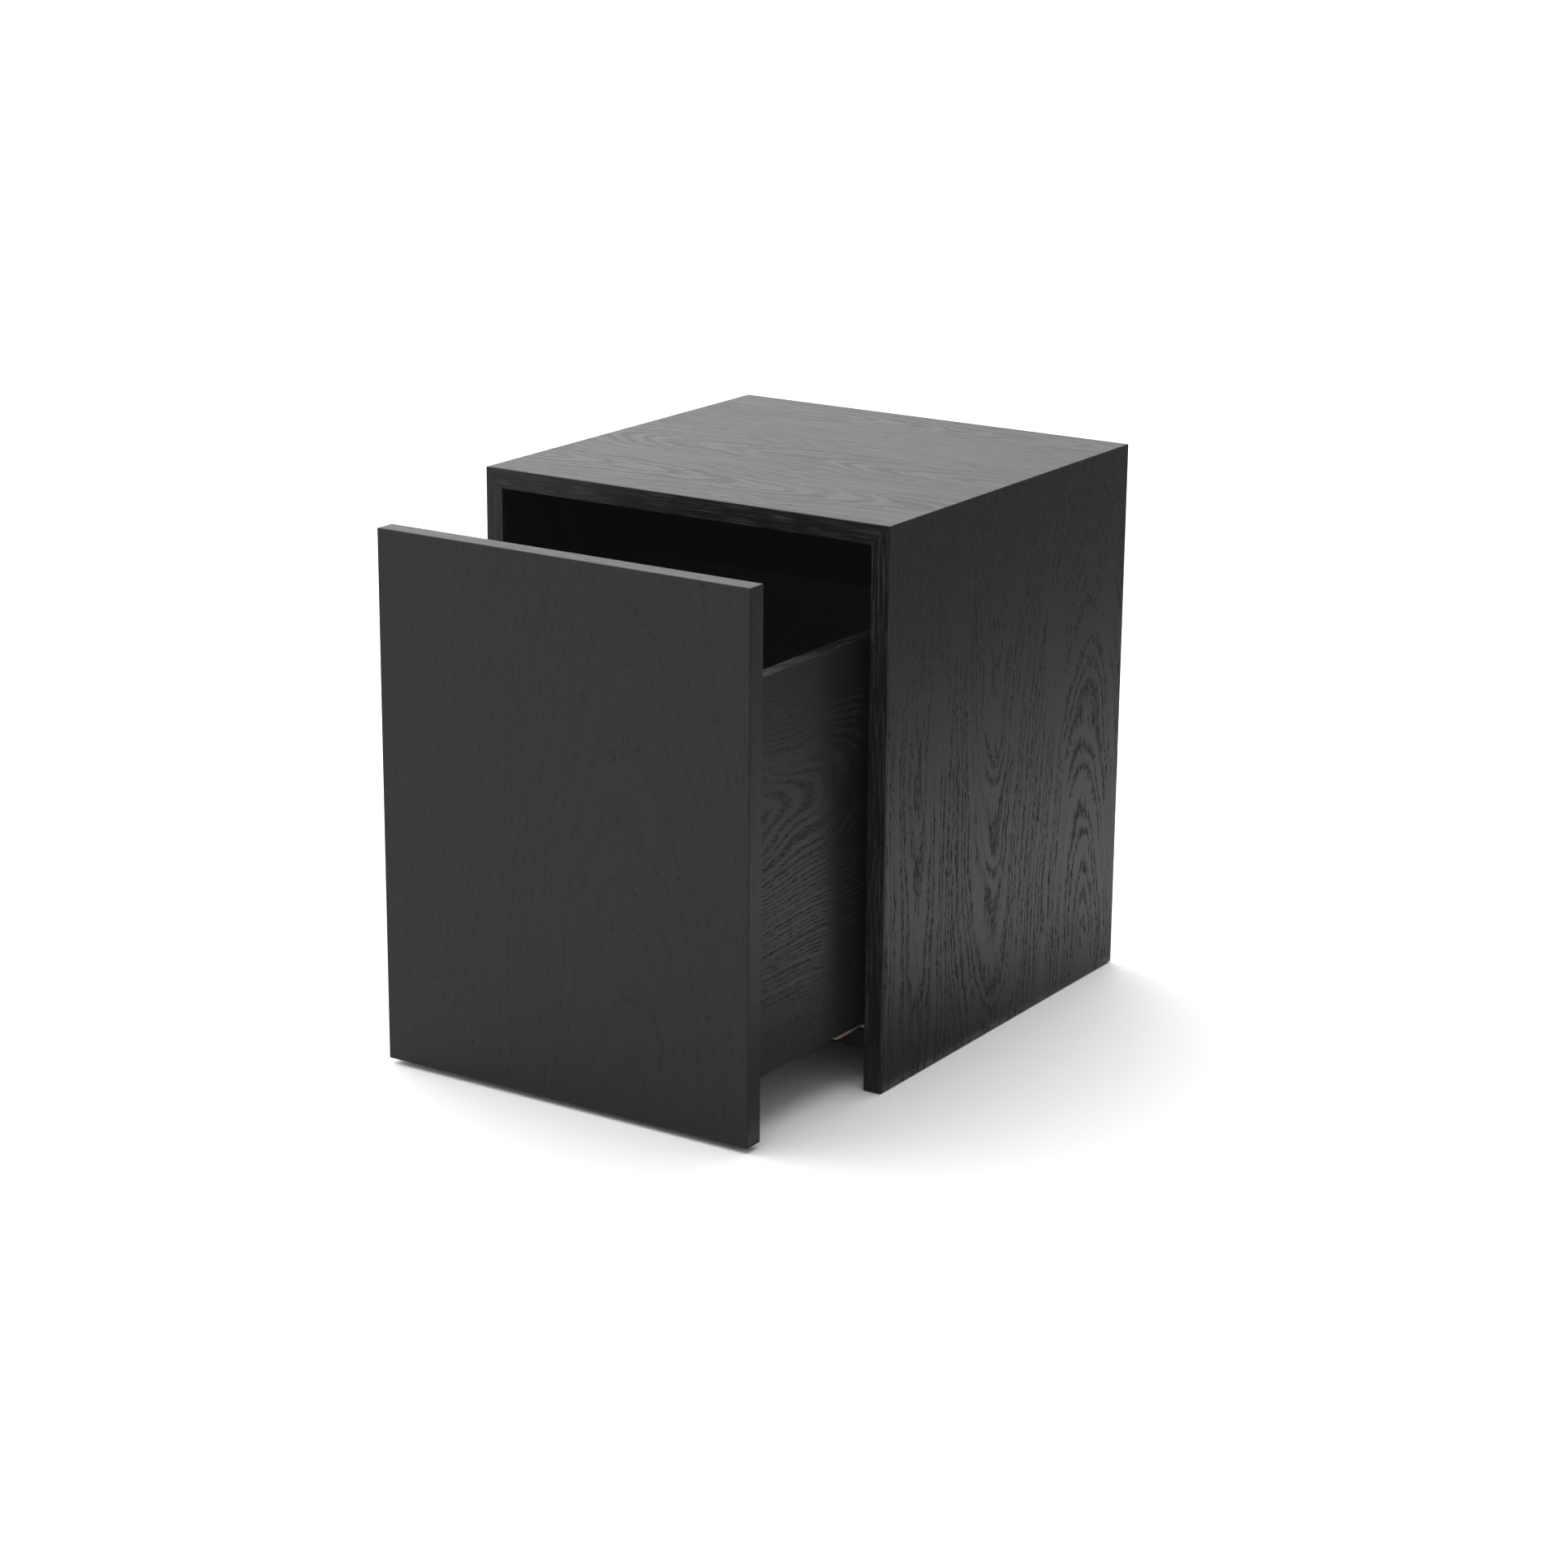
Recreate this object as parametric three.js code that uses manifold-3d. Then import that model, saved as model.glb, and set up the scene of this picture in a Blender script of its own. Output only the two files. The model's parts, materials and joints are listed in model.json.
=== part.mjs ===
// A bedside cabinet in black-stained oak: a mitred carcass without legs, and one deep
// inset drawer on concealed full-extension runners, opened by a push on its front.
//
// Millimetres, +Z up, +X to the right of someone facing the drawer, -Y towards them.
// The origin lies on the floor, under the middle of the cabinet with its drawer part open.

import * as THREE from 'three';
import { mergeVertices } from 'three/addons/utils/BufferGeometryUtils.js';
import Module from 'manifold-3d';

const wasm = await Module();
wasm.setup();

// ---- Driving dimensions -------------------------------------------------------------

const WIDTH = 400; // outside, side to side
const DEPTH = 400; // front edge to rear edge
const HEIGHT = 480; // floor to top
const BOARD = 17; // carcass board with its veneers
const DRAWER_OPEN = 170; // how far the drawer stands open at rest

const FRONT_THICK = 19; // drawer front
const SIDE_GAP = 2.5; // drawer front to each side panel
const TOP_GAP = 2; // drawer front to the top panel
const FRONT_LIFT = 5; // drawer front above the floor

const BOX_THICK = 13; // drawer sides, back and inner front
const BOX_HALF_WIDTH = 173; // to the outer faces of the drawer sides
const BOX_LENGTH = 315; // of a drawer side
const BOX_LOW = 54; // lower edge of the drawer sides
const BOX_HIGH = 384; // upper edge of the drawer sides
const BASE_LOW = 67; // underside of the drawer bottom
const BASE_THICK = 8;
const BASE_TONGUE = 6; // how far the drawer bottom enters each side

const LIPPING = 2; // solid oak strip along a carcass front edge
const FRONT_LIPPING = 1.5; // solid oak strip round the drawer front
const FACE_VENEER = 1; // veneer that covers the lippings of the drawer front

const FLOOR_GAP = 1; // glides stand proud of the side panels by this
const BOTTOM_LOW = 28; // underside of the carcass bottom panel
const BOTTOM_SETBACK = 20; // its front edge behind the carcass front
const BACK_THICK = 8;
const BACK_INSET = 2; // back panel's face ahead of the rear edges
const REBATE = 8; // how far the back panel enters the boards
const FIT = 0.3; // gap kept where one piece sits in another

// ---- Derived positions --------------------------------------------------------------

const HALF_WIDTH = WIDTH / 2;
const INNER_HALF = HALF_WIDTH - BOARD;
const TOP_UNDERSIDE = HEIGHT - BOARD;
const CARCASS_FRONT_Y = (DRAWER_OPEN - DEPTH) / 2; // centres cabinet and open drawer on Y
const DRAWER_FRONT_Y = CARCASS_FRONT_Y - DRAWER_OPEN;
const BACK_FRONT = DEPTH - BACK_INSET - BACK_THICK; // inner face of the back panel
const BOX_INNER = BOX_HALF_WIDTH - BOX_THICK;
const BOX_REAR = FRONT_THICK + BOX_LENGTH;
const BASE_HIGH = BASE_LOW + BASE_THICK;
const ROUND = 16; // facets round a small cylinder

// ---- Materials ----------------------------------------------------------------------

function finish(color, roughness, metalness) {
  return new THREE.MeshStandardMaterial({ color, roughness, metalness });
}

const FINISHES = {
  stainedOak: finish(0x2e2d2c, 0.5, 0),
  drawerOak: finish(0x2a2928, 0.55, 0),
  beech: finish(0xc49a6c, 0.7, 0),
  steel: finish(0xa9abac, 0.35, 0.9),
  darkPlastic: finish(0x3b3b3d, 0.5, 0),
  copperPlastic: finish(0x8a5a44, 0.5, 0),
  palePlastic: finish(0xb9b7b0, 0.5, 0),
};

// ---- Helpers ------------------------------------------------------------------------

// A box from its ranges along X, Y and Z.
function block([x0, x1], [y0, y1], [z0, z1]) {
  const geometry = new THREE.BoxGeometry(Math.abs(x1 - x0), y1 - y0, z1 - z0);
  return geometry.translate((x0 + x1) / 2, (y0 + y1) / 2, (z0 + z1) / 2);
}

// An outline in X and Z, run straight along Y.
function alongY(outline, [y0, y1]) {
  const shape = new THREE.Shape(outline.map(([x, z]) => new THREE.Vector2(x, z)));
  const geometry = new THREE.ExtrudeGeometry(shape, { depth: y1 - y0, bevelEnabled: false });
  return geometry.rotateX(Math.PI / 2).translate(0, y1, 0);
}

// A cylinder along Y.
function rodY(radius, x, [y0, y1], z) {
  return new THREE.CylinderGeometry(radius, radius, y1 - y0, ROUND).translate(x, (y0 + y1) / 2, z);
}

// A cylinder along X.
function rodX(radius, [x0, x1], y, z) {
  const geometry = new THREE.CylinderGeometry(radius, radius, Math.abs(x1 - x0), ROUND);
  return geometry.rotateZ(Math.PI / 2).translate((x0 + x1) / 2, y, z);
}

// A cylinder along Z.
function rodZ(radius, x, y, [z0, z1]) {
  const geometry = new THREE.CylinderGeometry(radius, radius, z1 - z0, ROUND);
  return geometry.rotateX(Math.PI / 2).translate(x, y, (z0 + z1) / 2);
}

// The solid bounded by a closed geometry.
function solid(geometry) {
  const bare = geometry.clone();
  bare.deleteAttribute('normal');
  bare.deleteAttribute('uv');
  const merged = mergeVertices(bare, 1e-4);
  return new wasm.Manifold(new wasm.Mesh({
    numProp: 3,
    vertProperties: new Float32Array(merged.attributes.position.array),
    triVerts: new Uint32Array(merged.index.array),
  }));
}

// The geometry of a solid.
function geometryOf(body) {
  const mesh = body.getMesh();
  const geometry = new THREE.BufferGeometry();
  geometry.setAttribute('position', new THREE.BufferAttribute(mesh.vertProperties, 3));
  geometry.setIndex(new THREE.BufferAttribute(mesh.triVerts, 1));
  geometry.computeVertexNormals();
  return geometry;
}

// One geometry with others joined to it and others cut away.
function shaped(base, { joined = [], cuts = [] }) {
  let body = solid(base);
  for (const piece of joined) body = body.add(solid(piece));
  for (const cut of cuts) body = body.subtract(solid(cut));
  return geometryOf(body);
}

function part(name, geometry, material) {
  const mesh = new THREE.Mesh(geometry, material.clone());
  mesh.name = name;
  return mesh;
}

// Left is -1 and right is +1; a name starts with the side it is on.
const SIDES = [{ name: 'left', sign: -1 }, { name: 'right', sign: 1 }];

// ---- Carcass boards -----------------------------------------------------------------

const SPLINE = { thick: 3, wide: 9, from: 14, to: DEPTH - 24, offset: 3 };
const DOWEL = { radius: 4, inSide: 10, inBottom: 24, depths: [70, 335], high: BOTTOM_LOW + BOARD / 2 };
const GLIDE = { radius: 7, seat: 2, pin: 1.1, pinTop: 15, depths: [30, 370] };
const BACK_SCREW = { radius: 1.5, head: 3.2, headThick: 1.5, length: 25, heights: [120, 380] };
const RUNNER_SCREW = { radius: 1.9, head: 3.5, headThick: 1.8, length: 13, depths: [59, 251], high: 70 };

// A spline lies across the 45 degree joint, in the inner half of the boards' thickness.
function spline(sign, clearance) {
  const length = SPLINE.to - SPLINE.from + clearance;
  const width = SPLINE.wide + clearance;
  const thick = SPLINE.thick + clearance;
  const inward = BOARD / 2 + SPLINE.offset;
  const geometry = new THREE.BoxGeometry(width, length, thick);
  geometry.rotateY(sign * Math.PI / 4);
  return geometry.translate(
    sign * (HALF_WIDTH - inward), (SPLINE.from + SPLINE.to) / 2, HEIGHT - inward,
  );
}

function backRebate(sign) {
  return block(
    [sign * (INNER_HALF - 1), sign * (INNER_HALF + REBATE)],
    [BACK_FRONT, DEPTH + 1], [0, TOP_UNDERSIDE + REBATE],
  );
}

function sidePanelCuts(sign) {
  const cuts = [spline(sign, FIT), backRebate(sign)];
  for (const y of DOWEL.depths) {
    const ends = [sign * (INNER_HALF - 1), sign * (INNER_HALF + DOWEL.inSide + 1)];
    cuts.push(rodX(DOWEL.radius + FIT / 2, ends, y, DOWEL.high));
  }
  for (const y of GLIDE.depths) {
    const x = sign * (HALF_WIDTH - BOARD / 2);
    cuts.push(rodZ(GLIDE.radius + FIT, x, y, [0, FLOOR_GAP + GLIDE.seat]));
    cuts.push(rodZ(GLIDE.pin + FIT / 2, x, y, [0, GLIDE.pinTop + 0.5]));
  }
  for (const z of BACK_SCREW.heights) {
    const x = sign * (INNER_HALF + REBATE / 2);
    const tip = BACK_FRONT + BACK_THICK - BACK_SCREW.length - 1;
    cuts.push(rodY(BACK_SCREW.radius + FIT / 2, x, [tip, DEPTH], z));
  }
  for (const y of RUNNER_SCREW.depths) {
    const x = sign * (INNER_HALF + RUNNER_SCREW.length);
    cuts.push(rodX(RUNNER_SCREW.radius + FIT / 2, [sign * (INNER_HALF - 1), x], y, RUNNER_SCREW.high));
  }
  return cuts;
}

// Side and top outlines meet on the 45 degree line from the outer to the inner corner.
function sideOutline(sign) {
  return [
    [sign * INNER_HALF, FLOOR_GAP], [sign * HALF_WIDTH, FLOOR_GAP],
    [sign * HALF_WIDTH, HEIGHT], [sign * INNER_HALF, TOP_UNDERSIDE],
  ];
}

const TOP_OUTLINE = [
  [-INNER_HALF, TOP_UNDERSIDE], [INNER_HALF, TOP_UNDERSIDE], [HALF_WIDTH, HEIGHT], [-HALF_WIDTH, HEIGHT],
];

function sidePanel({ name, sign }) {
  const board = alongY(sideOutline(sign), [LIPPING, DEPTH]);
  return part(`${name}_side_panel`, shaped(board, { cuts: sidePanelCuts(sign) }), FINISHES.stainedOak);
}

function topPanel() {
  const rebate = block(
    [-INNER_HALF - REBATE, INNER_HALF + REBATE], [BACK_FRONT, DEPTH + 1], [0, TOP_UNDERSIDE + REBATE],
  );
  const cuts = [spline(-1, FIT), spline(1, FIT), rebate];
  const board = alongY(TOP_OUTLINE, [LIPPING, DEPTH]);
  return part('top_panel', shaped(board, { cuts }), FINISHES.stainedOak);
}

function bottomPanel() {
  const board = block(
    [-INNER_HALF, INNER_HALF], [BOTTOM_SETBACK, BACK_FRONT], [BOTTOM_LOW, BOTTOM_LOW + BOARD],
  );
  const cuts = [];
  for (const { sign } of SIDES) {
    for (const y of DOWEL.depths) {
      const inner = sign * (INNER_HALF - DOWEL.inBottom - 1);
      cuts.push(rodX(DOWEL.radius + FIT / 2, [inner, sign * (INNER_HALF + 1)], y, DOWEL.high));
    }
  }
  return part('bottom_panel', shaped(board, { cuts }), FINISHES.stainedOak);
}

function backPanel() {
  const half = INNER_HALF + REBATE - FIT;
  const board = block(
    [-half, half], [BACK_FRONT, BACK_FRONT + BACK_THICK], [BOTTOM_LOW, TOP_UNDERSIDE + REBATE - FIT],
  );
  const cuts = [];
  for (const { sign } of SIDES) {
    const x = sign * (INNER_HALF + REBATE / 2);
    for (const z of BACK_SCREW.heights) {
      cuts.push(rodY(BACK_SCREW.radius + FIT / 2, x, [BACK_FRONT - 1, DEPTH], z));
    }
  }
  return part('back_panel', shaped(board, { cuts }), FINISHES.stainedOak);
}

function frontLippings() {
  const strip = [0, LIPPING];
  const pieces = [part('top_front_lipping', alongY(TOP_OUTLINE, strip), FINISHES.stainedOak)];
  for (const { name, sign } of SIDES) {
    pieces.push(part(`${name}_front_lipping`, alongY(sideOutline(sign), strip), FINISHES.stainedOak));
  }
  return pieces;
}

// ---- Carcass joinery and fixings ----------------------------------------------------

// A pan-head screw with its seat at the origin: the head stands at +Y, the shank runs to -Y.
function screwGeometry({ radius, head, headThick, length }) {
  const tip = radius * 1.5;
  const profile = [
    [0, -length], [radius, tip - length], [radius, 0], [head, 0],
    [head, headThick * 0.5], [head * 0.75, headThick * 0.9], [0, headThick],
  ];
  return new THREE.LatheGeometry(profile.map(([r, y]) => new THREE.Vector2(r, y)), ROUND);
}

function mitreSpline({ name, sign }) {
  return part(`${name}_mitre_spline`, spline(sign, 0), FINISHES.beech);
}

function bottomDowels({ name, sign }) {
  const places = ['front', 'rear'];
  return DOWEL.depths.map((y, i) => {
    const ends = [sign * (INNER_HALF - DOWEL.inBottom), sign * (INNER_HALF + DOWEL.inSide)];
    return part(`${name}_${places[i]}_dowel`, rodX(DOWEL.radius, ends, y, DOWEL.high), FINISHES.beech);
  });
}

function glides({ name, sign }) {
  const places = ['front', 'rear'];
  const seat = FLOOR_GAP + GLIDE.seat - FIT / 2;
  const profile = [
    [0, 0], [GLIDE.radius - 1, 0], [GLIDE.radius, 0.8], [GLIDE.radius, seat],
    [GLIDE.pin, seat], [GLIDE.pin, GLIDE.pinTop - 2], [0, GLIDE.pinTop],
  ].map(([r, y]) => new THREE.Vector2(r, y));
  return GLIDE.depths.map((y, i) => {
    const geometry = new THREE.LatheGeometry(profile, ROUND);
    const glide = part(`${name}_${places[i]}_glide`, geometry, FINISHES.darkPlastic);
    glide.rotation.x = Math.PI / 2;
    glide.position.set(sign * (HALF_WIDTH - BOARD / 2), y, 0);
    return glide;
  });
}

function backScrews({ name, sign }) {
  const places = ['lower', 'upper'];
  return BACK_SCREW.heights.map((z, i) => {
    const screw = part(`${name}_${places[i]}_back_screw`, screwGeometry(BACK_SCREW), FINISHES.steel);
    screw.position.set(sign * (INNER_HALF + REBATE / 2), BACK_FRONT + BACK_THICK, z);
    return screw;
  });
}

// ---- Runners ------------------------------------------------------------------------
// Each runner has three profiles, one inside the other, with a roller cage between each
// two. Outlines are in X and Z, for the right side.

const SHEET = 1.5; // steel thickness of the profiles
const RUNNER_FRONT = 22; // front end of the cabinet profile, clear of the closed drawer front
const RUNNER_LENGTH = 320;
const MIDDLE_FRONT = -24; // front end of the middle profile with the drawer at rest
const MIDDLE_LENGTH = 290;
const CABINET_RAIL = { low: 46, high: 78, inner: 140, lip: 56 };
const MIDDLE_RAIL = { low: 50, inner: 144, outer: 171, web: 152, flangeIn: 149, flangeOut: 156.5, top: 62 };
const DRAWER_RAIL = { low: 54, inner: 146, outer: 159.5 };
const DRAWER_RAIL_FRONT = 23;
const LOWER_CAGE = { x: [147, 166], z: [47.8, 49.7], from: 62, length: 140, rollers: 6 };
const UPPER_CAGE = { x: [149.5, 156], z: [62.3, 65.2], from: 18, length: 90, rollers: 5 };
const BUMPER = { x: [160, 171.6], z: [49.9, 52.2], from: -20, length: 20 };
const HOOK = { high: 90, pin: 2.8, pinHigh: 82, reach: 9 };

function mirrored(outline, sign) {
  return outline.map(([x, z]) => [sign * x, z]);
}

function cabinetProfile({ name, sign }) {
  const { low, high, inner, lip } = CABINET_RAIL;
  const outline = mirrored([
    [inner, low], [INNER_HALF, low], [INNER_HALF, high], [INNER_HALF - SHEET, high],
    [INNER_HALF - SHEET, low + SHEET], [inner + SHEET, low + SHEET], [inner + SHEET, lip], [inner, lip],
  ], sign);
  const rail = alongY(outline, [RUNNER_FRONT, RUNNER_FRONT + RUNNER_LENGTH]);
  const cuts = RUNNER_SCREW.depths.map((y) => rodX(
    RUNNER_SCREW.radius + FIT / 2, [sign * (INNER_HALF - 3), sign * (INNER_HALF + 1)], y, RUNNER_SCREW.high,
  ));
  return part(`${name}_runner_cabinet_profile`, shaped(rail, { cuts }), FINISHES.steel);
}

function runnerScrews({ name, sign }) {
  const places = ['front', 'rear'];
  return RUNNER_SCREW.depths.map((y, i) => {
    const screw = part(`${name}_${places[i]}_runner_screw`, screwGeometry(RUNNER_SCREW), FINISHES.steel);
    screw.rotation.z = sign * Math.PI / 2;
    screw.position.set(sign * (INNER_HALF - SHEET), y, RUNNER_SCREW.high);
    return screw;
  });
}

function middleProfile({ name, sign }) {
  const { low, inner, outer, web, flangeIn, flangeOut, top } = MIDDLE_RAIL;
  const outline = mirrored([
    [inner, low], [outer, low], [outer, low + SHEET], [web + SHEET, low + SHEET],
    [web + SHEET, top - SHEET], [flangeOut, top - SHEET], [flangeOut, top], [flangeIn, top],
    [flangeIn, top - SHEET], [web, top - SHEET], [web, low + SHEET], [inner, low + SHEET],
  ], sign);
  const rail = alongY(outline, [MIDDLE_FRONT, MIDDLE_FRONT + MIDDLE_LENGTH]);
  const seat = block(
    [sign * (BUMPER.x[0] - FIT), sign * (outer + 1)],
    [BUMPER.from - FIT, BUMPER.from + BUMPER.length + FIT], [low - 1, low + SHEET + 1],
  );
  return part(`${name}_runner_middle_profile`, shaped(rail, { cuts: [seat] }), FINISHES.steel);
}

function runnerBumper({ name, sign }) {
  const geometry = block(
    BUMPER.x.map((x) => sign * x), [BUMPER.from, BUMPER.from + BUMPER.length], BUMPER.z,
  );
  return part(`${name}_runner_bumper`, geometry, FINISHES.copperPlastic);
}

// A flat strip with rollers that stand a little proud of it above and below.
function rollerCage(name, sign, { x, z, from, length, rollers }) {
  const [x0, x1] = x.map((value) => sign * value);
  const middle = (z[0] + z[1]) / 2;
  const strip = block([x0, x1], [from, from + length], [z[0] + 0.3, z[1] - 0.3]);
  const radius = (z[1] - z[0]) / 2;
  const pitch = length / rollers;
  const joined = [];
  for (let i = 0; i < rollers; i += 1) {
    joined.push(rodX(radius, [x0 + sign, x1 - sign], from + (i + 0.5) * pitch, middle));
  }
  return part(name, shaped(strip, { joined }), FINISHES.palePlastic);
}

function drawerProfile({ name, sign }) {
  const { low, inner, outer } = DRAWER_RAIL;
  const top = BASE_LOW;
  const outline = mirrored([
    [inner, low], [inner + SHEET, low], [inner + SHEET, top - SHEET], [outer - SHEET, top - SHEET],
    [outer - SHEET, low], [outer, low], [outer, top], [inner, top],
  ], sign);
  const rear = BOX_REAR + FIT;
  const rail = alongY(outline, [DRAWER_RAIL_FRONT, rear + SHEET]);
  const tab = block([sign * inner, sign * outer], [rear, rear + SHEET], [top - SHEET, HOOK.high]);
  const pinX = sign * (inner + outer) / 2;
  const pin = rodY(HOOK.pin, pinX, [BOX_REAR - HOOK.reach, rear + SHEET / 2], HOOK.pinHigh);
  return part(`${name}_runner_drawer_profile`, shaped(rail, { joined: [tab, pin] }), FINISHES.steel);
}

// ---- Push openers -------------------------------------------------------------------
// A sprung plunger behind each drawer side starts the drawer moving after a push.

const OPENER = { x: 169, high: 210, radius: 6, from: 346, to: 384, bore: 3.7, boreTo: 376, webHalf: 3 };
const OPENER_PLATE = { thick: 3, from: 340, to: 386, halfHeight: 16 };
const PLUNGER = { radius: 3.4, tip: BOX_REAR + 3, end: 366 };

function openerBody({ name, sign }) {
  const barrel = rodY(OPENER.radius, sign * OPENER.x, [OPENER.from, OPENER.to], OPENER.high);
  const plate = block(
    [sign * (INNER_HALF - OPENER_PLATE.thick), sign * INNER_HALF], [OPENER_PLATE.from, OPENER_PLATE.to],
    [OPENER.high - OPENER_PLATE.halfHeight, OPENER.high + OPENER_PLATE.halfHeight],
  );
  const web = block(
    [sign * (OPENER.x + OPENER.bore + 1), sign * (INNER_HALF - OPENER_PLATE.thick / 2)],
    [OPENER.from + 1, OPENER.to - 1], [OPENER.high - OPENER.webHalf, OPENER.high + OPENER.webHalf],
  );
  const bore = rodY(OPENER.bore, sign * OPENER.x, [OPENER.from - 1, OPENER.boreTo], OPENER.high);
  const geometry = shaped(barrel, { joined: [plate, web], cuts: [bore] });
  return part(`${name}_push_opener_body`, geometry, FINISHES.darkPlastic);
}

function openerPlunger({ name, sign }) {
  const { radius, tip, end } = PLUNGER;
  const profile = [[0, 0], [radius - 1, 0], [radius, 1], [radius, end - tip], [0, end - tip]];
  const geometry = new THREE.LatheGeometry(profile.map(([r, y]) => new THREE.Vector2(r, y)), ROUND);
  const plunger = part(`${name}_push_opener_plunger`, geometry, FINISHES.palePlastic);
  plunger.position.set(sign * OPENER.x, tip, OPENER.high);
  return plunger;
}

// ---- Drawer -------------------------------------------------------------------------

const FRONT_HALF = INNER_HALF - SIDE_GAP;
const FRONT_HIGH = TOP_UNDERSIDE - TOP_GAP;
const FRONT_SCREW = { radius: 2, head: 4, headThick: 2.2, length: 25, x: 120, heights: [130, 330] };

function frontPanel() {
  const coreHalf = FRONT_HALF - FRONT_LIPPING;
  const core = block(
    [-coreHalf, coreHalf], [0, FRONT_THICK], [FRONT_LIFT + FRONT_LIPPING, FRONT_HIGH - FRONT_LIPPING],
  );
  const face = block([-FRONT_HALF, FRONT_HALF], [0, FACE_VENEER], [FRONT_LIFT, FRONT_HIGH]);
  const tip = FRONT_THICK + BOX_THICK - FRONT_SCREW.length - 1;
  const cuts = SIDES.flatMap(({ sign }) => FRONT_SCREW.heights.map((z) => rodY(
    FRONT_SCREW.radius + FIT / 2, sign * FRONT_SCREW.x, [tip, FRONT_THICK + 1], z,
  )));
  return part('drawer_front_panel', shaped(core, { joined: [face], cuts }), FINISHES.stainedOak);
}

function drawerFrontLippings() {
  const depth = [FACE_VENEER, FRONT_THICK];
  const across = [-FRONT_HALF, FRONT_HALF];
  const between = [FRONT_LIFT + FRONT_LIPPING, FRONT_HIGH - FRONT_LIPPING];
  const top = block(across, depth, [FRONT_HIGH - FRONT_LIPPING, FRONT_HIGH]);
  const bottom = block(across, depth, [FRONT_LIFT, FRONT_LIFT + FRONT_LIPPING]);
  const pieces = [
    part('drawer_front_top_lipping', top, FINISHES.stainedOak),
    part('drawer_front_bottom_lipping', bottom, FINISHES.stainedOak),
  ];
  for (const { name, sign } of SIDES) {
    const upright = block([sign * (FRONT_HALF - FRONT_LIPPING), sign * FRONT_HALF], depth, between);
    pieces.push(part(`drawer_front_${name}_lipping`, upright, FINISHES.stainedOak));
  }
  return pieces;
}

function drawerSide({ name, sign }) {
  const board = block(
    [sign * BOX_INNER, sign * BOX_HALF_WIDTH], [FRONT_THICK, BOX_REAR], [BOX_LOW, BOX_HIGH],
  );
  const groove = block(
    [sign * (BOX_INNER - 1), sign * (BOX_INNER + BASE_TONGUE + FIT)],
    [FRONT_THICK - 1, BOX_REAR + 1], [BASE_LOW, BASE_HIGH],
  );
  return part(`drawer_${name}_side`, shaped(board, { cuts: [groove] }), FINISHES.drawerOak);
}

function drawerBase() {
  const half = BOX_INNER + BASE_TONGUE;
  const board = block([-half, half], [FRONT_THICK, BOX_REAR], [BASE_LOW, BASE_HIGH]);
  return part('drawer_bottom', board, FINISHES.drawerOak);
}

function innerFront() {
  const board = block([-BOX_INNER, BOX_INNER], [FRONT_THICK, FRONT_THICK + BOX_THICK], [BASE_HIGH, BOX_HIGH]);
  const cuts = SIDES.flatMap(({ sign }) => FRONT_SCREW.heights.map((z) => rodY(
    FRONT_SCREW.radius + FIT / 2, sign * FRONT_SCREW.x, [FRONT_THICK - 1, FRONT_THICK + BOX_THICK + 1], z,
  )));
  return part('drawer_inner_front', shaped(board, { cuts }), FINISHES.drawerOak);
}

function drawerBack() {
  const board = block([-BOX_INNER, BOX_INNER], [BOX_REAR - BOX_THICK, BOX_REAR], [BASE_HIGH, BOX_HIGH]);
  const x = (DRAWER_RAIL.inner + DRAWER_RAIL.outer) / 2;
  const cuts = SIDES.map(({ sign }) => rodY(
    HOOK.pin + FIT, sign * x, [BOX_REAR - HOOK.reach - 1, BOX_REAR + 1], HOOK.pinHigh,
  ));
  return part('drawer_back', shaped(board, { cuts }), FINISHES.drawerOak);
}

function frontScrews({ name, sign }) {
  const places = ['lower', 'upper'];
  return FRONT_SCREW.heights.map((z, i) => {
    const screw = part(`${name}_${places[i]}_front_screw`, screwGeometry(FRONT_SCREW), FINISHES.steel);
    screw.position.set(sign * FRONT_SCREW.x, FRONT_THICK + BOX_THICK, z);
    return screw;
  });
}

// ---- Locking devices ----------------------------------------------------------------
// Under the drawer bottom, each device holds the drawer on its runner until its lever is
// squeezed. The lever turns on an upright pin.

const LOCK = { x: [118, 139], y: [20.5, 68], z: [50, BASE_LOW] };
const LOCK_FOOT = { beyondPin: 6, length: 15, thick: 2.5 };
const LOCK_UNDERCUT = { rib: 5, from: 54, high: 58 };
const LEVER = {
  x: 110, y: 28, pin: 2.5, boss: 5, hole: 2.75, z: [53, 60], arm: 2, length: 36, pad: 4, padWide: 3,
};

function lockBody({ name, sign }) {
  const [y0, y1] = LOCK.y;
  const body = block(LOCK.x.map((x) => sign * x), LOCK.y, LOCK.z);
  const foot = block(
    [sign * (LEVER.x - LOCK_FOOT.beyondPin), sign * (LOCK.x[0] + 1)],
    [y0, y0 + LOCK_FOOT.length], [LOCK.z[0], LOCK.z[0] + LOCK_FOOT.thick],
  );
  const pin = rodZ(LEVER.pin, sign * LEVER.x, LEVER.y, [LOCK.z[0] + 1, LEVER.z[1] + 2]);
  const undercut = block(
    [sign * (LOCK.x[0] + LOCK_UNDERCUT.rib), sign * (LOCK.x[1] + 1)],
    [LOCK_UNDERCUT.from, y1 + 1], [LOCK.z[0] - 1, LOCK_UNDERCUT.high],
  );
  const geometry = shaped(body, { joined: [foot, pin], cuts: [undercut] });
  return part(`${name}_lock_body`, geometry, FINISHES.darkPlastic);
}

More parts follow.
